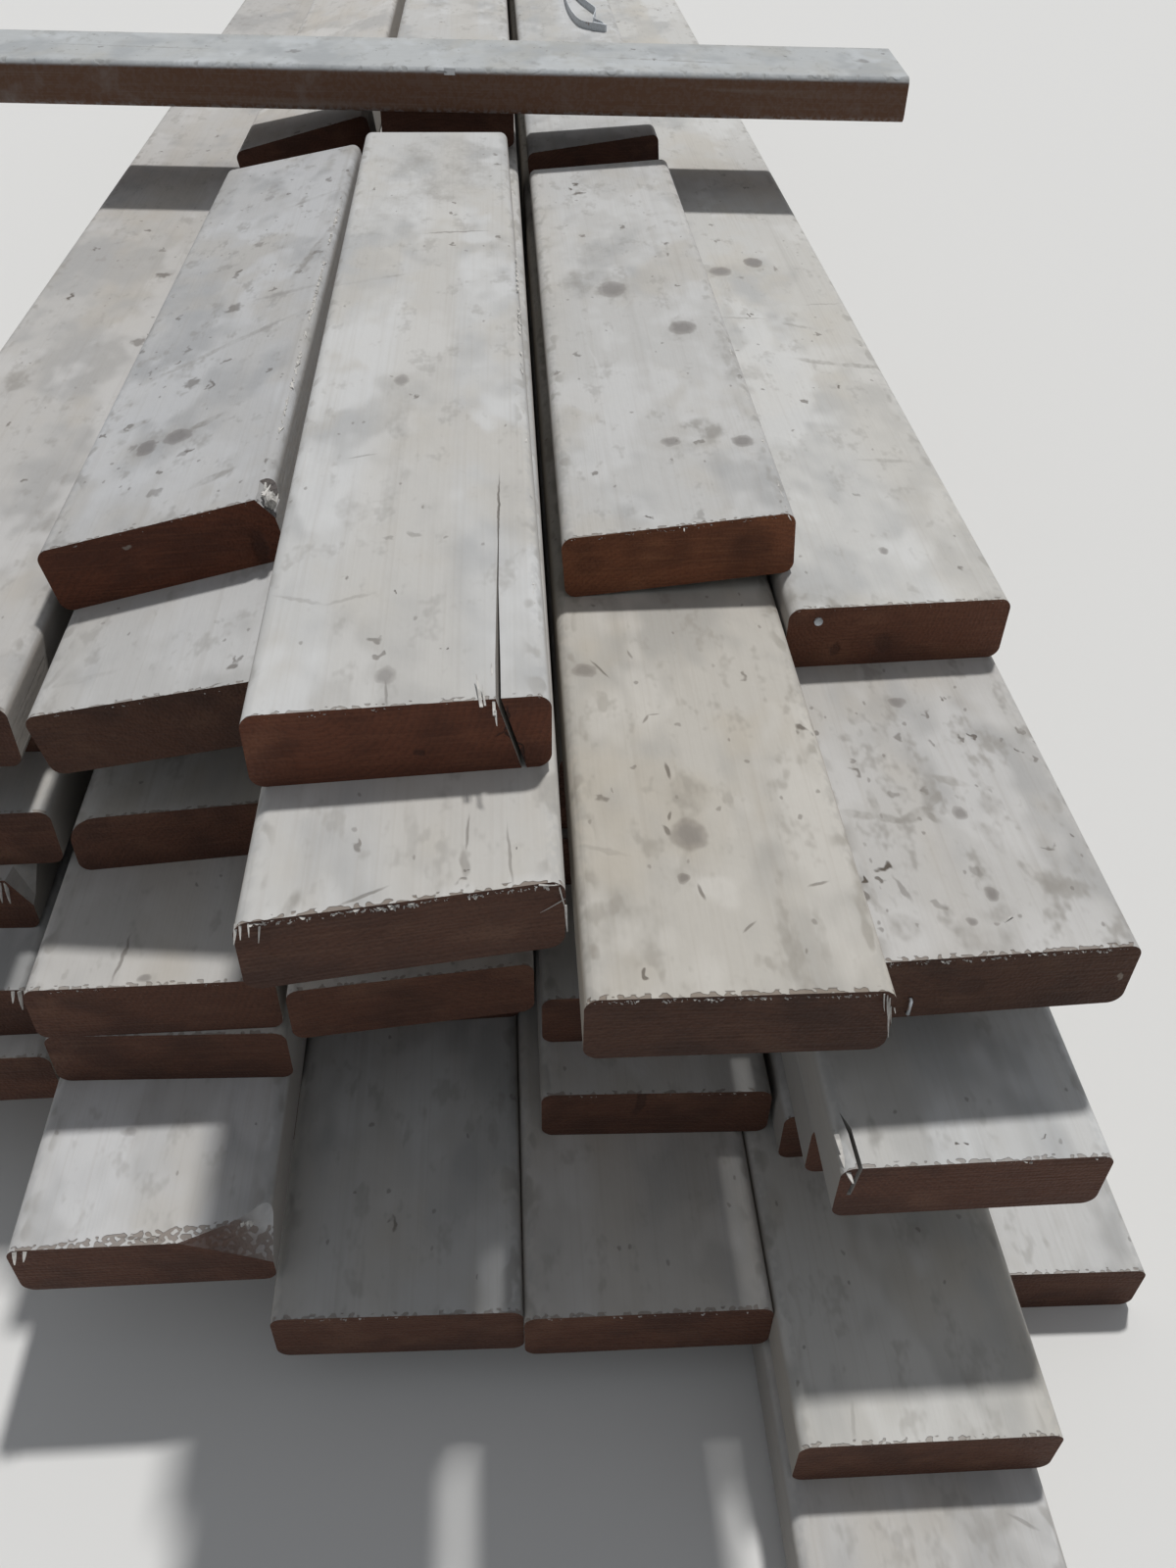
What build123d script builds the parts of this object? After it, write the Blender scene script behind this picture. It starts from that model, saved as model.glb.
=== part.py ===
"""Stack of sawn lumber: five rows of planks laid flat with staggered near ends.

Short planks lie on the longer ones, two rows are topped by tilted boards and one batten lies
across the top. Millimetres, +Z up, planks run along +Y with their staggered ends towards -Y.
The origin is on the floor under the middle of the whole stack.
"""

from build123d import *
import math
import os

os.makedirs("parts", exist_ok=True)

# Sawn stock, one section throughout
PLANK_WIDTH = 150.0
PLANK_THICKNESS = 45.0
ARRIS_RADIUS = 8.0
STOCK_LENGTH = 3000.0
BACK_LENGTH = 1800.0

# The right hand rows came from other sawing runs, and so did the far right row's lowest planks
RIGHT_THINNER_BY = 0.5
FAR_RIGHT_THICKER_BY = 1.5
FAR_RIGHT_THIN_COURSES = 2
OUTER_WIDTH = 110.0
OUTER_GAP = 0.3

# Short planks on top
MIDDLE_SHORT_LENGTH = 1000.0
RIGHT_SHORT_LENGTH = 800.0
LEFT_SHORT_LENGTH = 800.0
WIDE_BOARD_EXTRA = 5.0
BACK_GAP = 55.0
MIDDLE_BACK_GAP = 105.0

# Tilted boards of the left row, held up on one side by a lath
LATH_WIDTH = 38.0
LATH_THICKNESS = 19.0
LATH_RECESS = 90.0
TILTED_INSET = 13.0
TILTED_SLIP = 2.0
TILTED_CLEARANCE = 2.2
TILTED_SEAT = 0.03

# Tilted boards of the right row, one side on the far right row
RIGHT_TILTED_INSET = 7.0

# Cross batten
BATTEN_LENGTH = 1200.0
BATTEN_LEFT_SHARE = 0.58
BATTEN_YAW = math.radians(4.0)
BATTEN_OVERHANG = 42.0
BATTEN_NICK = 12.0

# Slight turn of the middle short plank, far end to the left
SHORT_YAW = math.radians(-0.5)

# Damage at the near ends
CHECK_LENGTH = 245.0
CHECK_WIDTH = 2.6
CHECK_OFFSET = 122.0
CHECK_LEAN = 12.0
WANE_RADIUS = 20.0
BROKEN_CORNER = 16.0
WORN_CORNER = 56.0
SPLIT_INSET = 9.0
SPLIT_WIDTH = 2.2
SPLIT_LENGTH = 36.0

# Left side of the middle row in each course, bottom course first
MIDDLE_LEFT = [-156.5, -153.0, -150.0, -145.5, -141.0, -135.0, -132.0, -127.5, -127.5, -130.5]

# Gaps between the rows in each course, from the middle row outwards
LEFT_GAP = [3.0, 2.0, 0.3, 1.5, 7.0, 0.3, 3.0]
FAR_LEFT_GAP = [3.0, 0.3, 9.0, 18.0, 22.0, 12.0, 16.0]
RIGHT_GAP = [0.3, 0.3, 12.0, 9.5, 9.0, 3.0, 10.5, 7.5]
FAR_RIGHT_GAP = [0.3, 0.3, 2.0, 2.0, 0.3, 2.0, 1.5, 1.5]

# Near end of each plank, bottom course first: place of its left corner and how far the right
# corner lies behind it where the saw cut is out of square
FAR_LEFT_ENDS = [(640, 0), (625, 3), (538, 2), (557, 2), (616, -3), (625, 4), (690, 0), (621, 0)]
LEFT_ENDS = [(560, 0), (545, 3), (402, 0), (520, -4), (519, 2), (620, 15), (745, 0)]
MIDDLE_ENDS = [(470, -6), (376, -3), (590, 5), (600, 0), (511, 16), (540, 6), (500, 0), (470, 4), (399, 21)]
RIGHT_ENDS = [(470, 0), (369, -1), (495, -4), (537, 0), (640, 0), (650, 4), (620, -5), (389, -1)]
FAR_RIGHT_ENDS = [(225, 4), (288, -1), (470, 3), (430, 0), (373, 1), (510, 0), (435, 6), (696, 8)]
OUTER_END = (405, -2)
MIDDLE_SHORT_END = (491, 10)
LEFT_TILTED_END = (613, -5)
LEFT_SHORT_END = (725, 16)
RIGHT_SHORT_END = (734, 9)
LEFT_BACK_SKEW = 46.0
RIGHT_BACK_SKEW = 36.0

boards = {}


def end_plane(corner, roll=0.0, yaw=0.0):
    """Plane across a board's near end: X along its width, Y up its thickness."""
    along = Vector(math.sin(yaw), math.cos(yaw), 0)
    level = Vector(math.cos(yaw), -math.sin(yaw), 0)
    across = level * math.cos(roll) + Vector(0, 0, math.sin(roll))
    return Plane(origin=corner, x_dir=across, z_dir=-along)


def board(corner, length, skew=0.0, width=PLANK_WIDTH, thickness=PLANK_THICKNESS, roll=0.0, yaw=0.0, wane=0.0):
    """One plank with eased arrises, its lower left edge starting at the given corner."""
    face = end_plane(corner, roll, yaw)
    start = face.offset(-min(skew, 0.0))
    upper_left = start.from_local_coords((0, thickness, 0))
    with BuildPart() as plank:
        with BuildSketch(start) as section:
            Rectangle(width, thickness, align=(Align.MIN, Align.MIN))
            if wane:
                fillet(section.vertices().sort_by_distance(upper_left)[0], wane)
                square = section.vertices().sort_by_distance(upper_left)[2:]
                fillet(square, ARRIS_RADIUS)
            else:
                fillet(section.vertices(), ARRIS_RADIUS)
        extrude(amount=-(length - min(skew, 0.0)))
        if skew:
            behind = face.z_dir * -width - face.x_dir * skew
            cut = Plane(origin=corner, x_dir=face.y_dir, z_dir=behind)
            split(bisect_by=cut, keep=Keep.TOP)
    return plank


def left_side(course, row):
    """X of a flat plank's left side, course 0 being the bottom one."""
    middle = MIDDLE_LEFT[course]
    if row == "left":
        return middle - LEFT_GAP[course] - PLANK_WIDTH
    if row == "far_left":
        return left_side(course, "left") - FAR_LEFT_GAP[course] - PLANK_WIDTH
    if row == "right":
        return middle + PLANK_WIDTH + RIGHT_GAP[course]
    if row == "far_right":
        # Its thicker planks reach up beside the next course of the right row
        beside = left_side(course, "right")
        if FAR_RIGHT_THIN_COURSES <= course < len(RIGHT_ENDS) - 1:
            beside = max(beside, left_side(course + 1, "right"))
        return beside + PLANK_WIDTH + FAR_RIGHT_GAP[course]
    return middle


def thickness_of(row, course):
    """Thickness of the plank a row has in one course."""
    if row == "far_right" and course >= FAR_RIGHT_THIN_COURSES:
        return PLANK_THICKNESS + FAR_RIGHT_THICKER_BY
    if row in ("right", "far_right"):
        return PLANK_THICKNESS - RIGHT_THINNER_BY
    return PLANK_THICKNESS


def top_of(row, courses):
    """Height of a row's top after so many courses."""
    return sum(thickness_of(row, course) for course in range(courses))


def lay_row(row, ends, first=0, wane_course=None):
    """Lays a row of flat planks, one on another."""
    for course, (near, skew) in enumerate(ends, first):
        corner = (left_side(course, row), near, top_of(row, course))
        wane = WANE_RADIUS if course == wane_course else 0.0
        plank = board(corner, STOCK_LENGTH, skew, thickness=thickness_of(row, course), wane=wane)
        boards[f"{row}_plank_{course + 1:02d}"] = plank


# Flat planks of the four outer rows
lay_row("left", LEFT_ENDS, wane_course=5)
lay_row("middle", MIDDLE_ENDS)
lay_row("right", RIGHT_ENDS)
lay_row("far_right", FAR_RIGHT_ENDS)

# Narrower plank on the floor beside the far right row's lowest one
near, skew = OUTER_END
outer_left = left_side(0, "far_right") + PLANK_WIDTH + OUTER_GAP
outer_thickness = thickness_of("far_right", 0)
boards["far_right_outer_plank"] = board(
    (outer_left, near, 0), STOCK_LENGTH, skew, width=OUTER_WIDTH, thickness=outer_thickness
)

# Lath under the right side of the tilted pair, on the left row's top plank
left_top = top_of("left", len(LEFT_ENDS))
left_edge = left_side(6, "left")
lath_left = left_edge + PLANK_WIDTH - LATH_WIDTH
with BuildPart() as packing_lath:
    with BuildSketch(end_plane((lath_left, LEFT_ENDS[6][0] + LATH_RECESS, left_top))):
        Rectangle(LATH_WIDTH, LATH_THICKNESS, align=(Align.MIN, Align.MIN))
    extrude(amount=-STOCK_LENGTH + 2 * LATH_RECESS)
boards["packing_lath"] = packing_lath

# Tilt of the pair: its lower left arris rests on the plank, its underside on the lath's edge
arris_x = left_edge + TILTED_INSET
run = lath_left - arris_x
rise = LATH_THICKNESS - ARRIS_RADIUS
left_tilt = math.asin(ARRIS_RADIUS / math.hypot(run, rise)) + math.atan2(rise, run)
tilt_across = Vector(math.cos(left_tilt), 0, math.sin(left_tilt))
tilt_up = Vector(-math.sin(left_tilt), 0, math.cos(left_tilt))
arris = Vector(arris_x, 0, left_top + ARRIS_RADIUS)
pair_corner = arris - (tilt_across + tilt_up) * ARRIS_RADIUS
upper_corner = pair_corner + tilt_up * (PLANK_THICKNESS + TILTED_SEAT) - tilt_across * TILTED_SLIP


def at_y(point, y):
    """The same point moved along the planks."""
    return (point.X, y, point.Z)


near, skew = LEFT_TILTED_END
boards["left_tilted_plank"] = board(at_y(pair_corner, near), STOCK_LENGTH, skew, roll=left_tilt)

near, skew = LEFT_SHORT_END
with BuildPart() as left_short_plank:
    add(board(at_y(upper_corner, near), LEFT_SHORT_LENGTH, skew, roll=left_tilt).part)
    # Chipped upper right corner at the near end, the chip dying out down the side
    chip_face = end_plane(at_y(upper_corner, near + skew), left_tilt)
    chip_at = chip_face.from_local_coords((PLANK_WIDTH, PLANK_THICKNESS + 1, 0))
    with BuildSketch(Plane(origin=chip_at, x_dir=chip_face.x_dir, z_dir=tilt_up)):
        with BuildLine():
            Polyline((-11, -24), (-8, 9), (-9, 24), (5, 38), (16, 38), (16, -24), close=True)
        make_face()
    extrude(amount=20, dir=-tilt_up + tilt_across * 0.55, mode=Mode.SUBTRACT)
boards["left_short_plank"] = left_short_plank

back_near = LEFT_SHORT_END[0] + LEFT_SHORT_LENGTH + LEFT_SHORT_END[1] + BACK_GAP
boards["left_back_plank"] = board(
    at_y(upper_corner, back_near), BACK_LENGTH, LEFT_BACK_SKEW, roll=left_tilt
)

# Far left row: its top plank clears the tilted pair
pair_left = (upper_corner + tilt_up * PLANK_THICKNESS).X
pair_left = pair_left + ARRIS_RADIUS * (math.cos(left_tilt) + math.sin(left_tilt)) - ARRIS_RADIUS
lay_row("far_left", FAR_LEFT_ENDS[:-1])
near, skew = FAR_LEFT_ENDS[-1]
top_corner = (pair_left - TILTED_CLEARANCE - PLANK_WIDTH, near, top_of("far_left", 7))
boards["far_left_plank_08"] = board(top_corner, STOCK_LENGTH, skew)

# Broken upper right corner of a far left plank, the break running out lower down the end
near, skew = FAR_LEFT_ENDS[4]
broken_at = (left_side(4, "far_left") + PLANK_WIDTH, near + skew, top_of("far_left", 5) + 1)
with BuildPart() as broken_plank:
    add(boards["far_left_plank_05"].part)
    with BuildSketch(Plane(origin=broken_at)):
        with BuildLine():
            Polyline((-BROKEN_CORNER, -20), (-0.7 * BROKEN_CORNER, 14), (4, 42), (20, 42), (20, -20), close=True)
        make_face()
    extrude(amount=30, dir=(0.5, -0.3, -1), mode=Mode.SUBTRACT)
boards["far_left_plank_05"] = broken_plank

# Worn upper right corner of a left plank, less worn towards its underside
near, skew = LEFT_ENDS[2]
worn_at = (left_side(2, "left") + PLANK_WIDTH, near + skew, top_of("left", 3) + 1)
with BuildPart() as worn_plank:
    add(boards["left_plank_03"].part)
    with BuildSketch(Plane(origin=worn_at)):
        with BuildLine():
            rounded = Spline((-WORN_CORNER, -1), (-0.55 * WORN_CORNER, 9), (-0.25 * WORN_CORNER, 18), (2, 40))
            Polyline(rounded @ 1, (12, 40), (12, -20), (-WORN_CORNER, -20), rounded @ 0)
        make_face()
    extrude(amount=PLANK_THICKNESS + 4, dir=(0.8, -0.5, -1), mode=Mode.SUBTRACT)
boards["left_plank_03"] = worn_plank

# Middle short plank with a long check running in from its near end
near, skew = MIDDLE_SHORT_END
short_top = top_of("middle", 10)
short_corner = (left_side(9, "middle"), near, top_of("middle", 9))
with BuildPart() as middle_short_plank:
    add(board(short_corner, MIDDLE_SHORT_LENGTH, skew, yaw=SHORT_YAW).part)
    check_start = (short_corner[0] + CHECK_OFFSET, near, short_top + 2)
    with BuildSketch(Plane(origin=check_start)):
        with BuildLine():
            Polyline(
                (0, -30),
                (0, 40),
                (1.2, 0.45 * CHECK_LENGTH),
                (4.0, CHECK_LENGTH),
                (2.2, 0.45 * CHECK_LENGTH),
                (CHECK_WIDTH, 40),
                (CHECK_WIDTH, -30),
                close=True,
            )
        make_face()
    check_down = (CHECK_LEAN, 0, -PLANK_THICKNESS)
    extrude(amount=PLANK_THICKNESS + 8, dir=check_down, mode=Mode.SUBTRACT)
boards["middle_short_plank"] = middle_short_plank

middle_back_near = near + skew + MIDDLE_SHORT_LENGTH + MIDDLE_BACK_GAP
middle_back_corner = (left_side(9, "middle"), middle_back_near, top_of("middle", 9))
boards["middle_back_plank"] = board(middle_back_corner, BACK_LENGTH)

# Tilt of the right row's top boards: lower left arris on the right row, lower right arris
# against the upper left arris of the far right row's top plank
wide = PLANK_WIDTH + WIDE_BOARD_EXTRA
right_top = top_of("right", 8)
arris = Vector(left_side(7, "right") + RIGHT_TILTED_INSET + ARRIS_RADIUS, 0, right_top + ARRIS_RADIUS)
step_x = left_side(7, "far_right") + ARRIS_RADIUS - arris.X
step_z = top_of("far_right", 8) - ARRIS_RADIUS - arris.Z
span = wide - 2 * ARRIS_RADIUS
reach = math.hypot(step_x, step_z)
closing = (reach**2 + span**2 - 4 * ARRIS_RADIUS**2) / (2 * span * reach)
right_tilt = max(0.0, math.atan2(step_z, step_x) + math.acos(min(1.0, closing)))
right_across = Vector(math.cos(right_tilt), 0, math.sin(right_tilt))
right_up = Vector(-math.sin(right_tilt), 0, math.cos(right_tilt))
right_corner = arris - (right_across + right_up) * ARRIS_RADIUS

near, skew = RIGHT_SHORT_END
boards["right_short_plank"] = board(at_y(right_corner, near), RIGHT_SHORT_LENGTH, skew, width=wide, roll=right_tilt)
back_near = near + skew + RIGHT_SHORT_LENGTH + BACK_GAP
boards["right_back_plank"] = board(
    at_y(right_corner, back_near), BACK_LENGTH, RIGHT_BACK_SKEW, width=wide, roll=right_tilt
)

# Split near left corner of a far right plank, a sliver still standing beside it
near, skew = FAR_RIGHT_ENDS[4]
split_at = (left_side(4, "far_right") + SPLIT_INSET, near, top_of("far_right", 5) + 1)
with BuildPart() as split_plank:
    add(boards["far_right_plank_05"].part)
    with BuildSketch(Plane(origin=split_at)):
        with BuildLine():
            Polyline(
                (0, -10),
                (-1, 0.6 * SPLIT_LENGTH),
                (-3, SPLIT_LENGTH),
                (1.2, 0.7 * SPLIT_LENGTH),
                (SPLIT_WIDTH, 0),
                (SPLIT_WIDTH, -10),
                close=True,
            )
        make_face()
    extrude(amount=0.6 * PLANK_THICKNESS, dir=(-0.1, -0.2, -1), mode=Mode.SUBTRACT)
boards["far_right_plank_05"] = split_plank

# Cross batten, lying across the middle back plank
batten_near = middle_back_near - BATTEN_OVERHANG
middle_axis = left_side(9, "middle") + PLANK_WIDTH / 2
batten_along = Vector(math.cos(BATTEN_YAW), -math.sin(BATTEN_YAW), 0)
batten_middle = Vector(middle_axis, batten_near, top_of("middle", 10))
batten_start = batten_middle - batten_along * (BATTEN_LENGTH * BATTEN_LEFT_SHARE)
batten_across = (math.sin(BATTEN_YAW), math.cos(BATTEN_YAW), 0)
with BuildPart() as cross_batten:
    with BuildSketch(Plane(origin=batten_start, x_dir=batten_across, z_dir=batten_along)) as section:
        Rectangle(PLANK_WIDTH, PLANK_THICKNESS, align=(Align.MIN, Align.MIN))
        fillet(section.vertices(), ARRIS_RADIUS)
    extrude(amount=BATTEN_LENGTH)
    # Small nick in its near upper edge
    with BuildSketch(Plane(origin=batten_middle, x_dir=batten_across, z_dir=batten_along)):
        with BuildLine():
            Polyline((-2, PLANK_THICKNESS + 2), (-2, PLANK_THICKNESS - 9), (7, PLANK_THICKNESS + 2), close=True)
        make_face()
    extrude(amount=BATTEN_NICK, mode=Mode.SUBTRACT)
boards["cross_batten"] = cross_batten

# Everything is brought over the origin and written, one file a piece
boxes = [item.part.bounding_box() for item in boards.values()]
centre_x = (min(box.min.X for box in boxes) + max(box.max.X for box in boxes)) / 2
centre_y = (min(box.min.Y for box in boxes) + max(box.max.Y for box in boxes)) / 2
print("pieces", len(boards), "moved by", round(-centre_x, 2), round(-centre_y, 2))
for name, item in boards.items():
    piece = item.part.moved(Location((-centre_x, -centre_y, 0)))
    piece.label = name
    export_step(piece, f"parts/{name}.step")
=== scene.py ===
import math
import random

import bpy
from bpy.props import FloatProperty, FloatVectorProperty, IntProperty, PointerProperty
from mathutils import Matrix, Vector


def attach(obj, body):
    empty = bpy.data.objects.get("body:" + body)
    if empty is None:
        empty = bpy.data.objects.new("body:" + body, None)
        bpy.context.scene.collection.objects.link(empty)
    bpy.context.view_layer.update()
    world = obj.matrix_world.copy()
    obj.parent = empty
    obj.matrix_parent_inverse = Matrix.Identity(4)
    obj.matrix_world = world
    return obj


bl_info = {
    "name": "Lumber Stack",
    "version": (1, 0, 0),
    "blender": (4, 5, 0),
    "location": "View3D > Sidebar > Lumber",
    "description": "Dresses a stack of sawn planks: weathered wood, knots, checks and torn ends",
    "category": "Object",
}

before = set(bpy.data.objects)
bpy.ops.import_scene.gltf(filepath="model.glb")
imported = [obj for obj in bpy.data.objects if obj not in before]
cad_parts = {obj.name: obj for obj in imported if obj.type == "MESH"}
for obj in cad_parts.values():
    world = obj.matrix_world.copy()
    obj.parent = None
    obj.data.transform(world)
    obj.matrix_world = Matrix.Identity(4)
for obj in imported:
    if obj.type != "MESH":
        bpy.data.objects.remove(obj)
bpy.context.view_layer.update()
MM = 0.001
ENDLESS = 1000.0


# Settings


def colour(name, description, default):
    """A colour property."""
    return FloatVectorProperty(
        name=name, description=description, default=default, subtype="COLOR", size=3, min=0, max=1
    )


def length(name, description, default):
    """A length property in metres."""
    return FloatProperty(
        name=name, description=description, default=default, unit="LENGTH", subtype="DISTANCE", precision=4
    )


def power(name, description, default):
    """A light's strength property."""
    return FloatProperty(name=name, description=description, default=default, min=0)


class WoodSettings(bpy.types.PropertyGroup):
    """Colours and sizes of the planks' wood."""

    pale: colour("Pale weathered wood", "Bleached face of a plank", (0.500, 0.500, 0.492))
    grey: colour("Grey weathered wood", "Greyer patches of a plank's face", (0.375, 0.380, 0.382))
    beige: colour("Beige wood", "Warmer patches of a plank's face", (0.475, 0.450, 0.405))
    bleached: colour("Bleached wood", "Whitest patches of a plank's face", (0.580, 0.585, 0.585))
    honey: colour("Fresh wood", "Wood under the weathered face", (0.36, 0.30, 0.23))
    late: colour("Latewood", "Dark part of each year ring", (0.30, 0.265, 0.225))
    # The three end colours are darker than the end wood itself: painted shade of the near ends, which face away
    # from the key light
    shaded_sawn_end: colour("Sawn end", "End grain of a plank", (0.145, 0.060, 0.037))
    end_dark: colour("Dark end", "Rings and dirt in the end grain", (0.060, 0.026, 0.018))
    end_pale: colour("Pale end", "Rubbed patches of the end grain", (0.225, 0.110, 0.070))
    knot: colour("Knot", "Weathered heart of a knot", (0.212, 0.202, 0.196))
    rim: colour("Knot rim", "Dark ring round a knot", (0.120, 0.102, 0.090))
    dirt: colour("Dirt", "Dents and specks", (0.095, 0.080, 0.066))
    stain: colour("Stain", "Dried water stain", (0.290, 0.280, 0.262))
    # Painted shade: the batten's long faces are dark brown as shade, since they face away from the key light
    batten_face_shade: colour("Shaded batten face", "Brown long face of the batten", (0.116, 0.050, 0.024))
    notch: colour("Torn notch", "Small pits along a torn edge", (0.200, 0.165, 0.140))
    ring_gap: length("Ring spacing", "Distance between year rings", 0.0036)
    torn_depth: length("Torn depth", "How far back the torn near edge reaches", 0.004)


class TornSettings(bpy.types.PropertyGroup):
    """Torn fibres and splinters."""

    fibre: colour("Torn fibre", "Fresh wood of a torn fibre", (0.60, 0.585, 0.555))
    width: length("Fibre width", "Width of a usual fibre", 0.0008)
    thickness: length("Fibre thickness", "Thickness of a usual fibre", 0.0005)
    seed: IntProperty(name="Seed", description="Starts the fibres' scatter", default=11)


class SteelSettings(bpy.types.PropertyGroup):
    """Strap, staple and nail."""

    tone: colour("Steel", "Dull zinc of the small steel pieces", (0.46, 0.49, 0.52))
    rust: colour("Rust", "Rust freckles", (0.17, 0.075, 0.035))
    strap_width: length("Strap width", "Width of the steel strap", 0.010)
    strap_gauge: length("Strap thickness", "Thickness of the steel strap", 0.0009)


class LightSettings(bpy.types.PropertyGroup):
    """Camera and studio light."""

    lens: FloatProperty(name="Lens", description="Focal length in millimetres", default=29.65, unit="CAMERA")
    key_power: power("Key light", "Strength of the soft key light", 2.50)
    sky_power: power("Sky light", "Strength of the even light all round", 0.31)
    floor_tone: colour("Floor", "Pale studio floor", (0.70, 0.70, 0.69))


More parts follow.
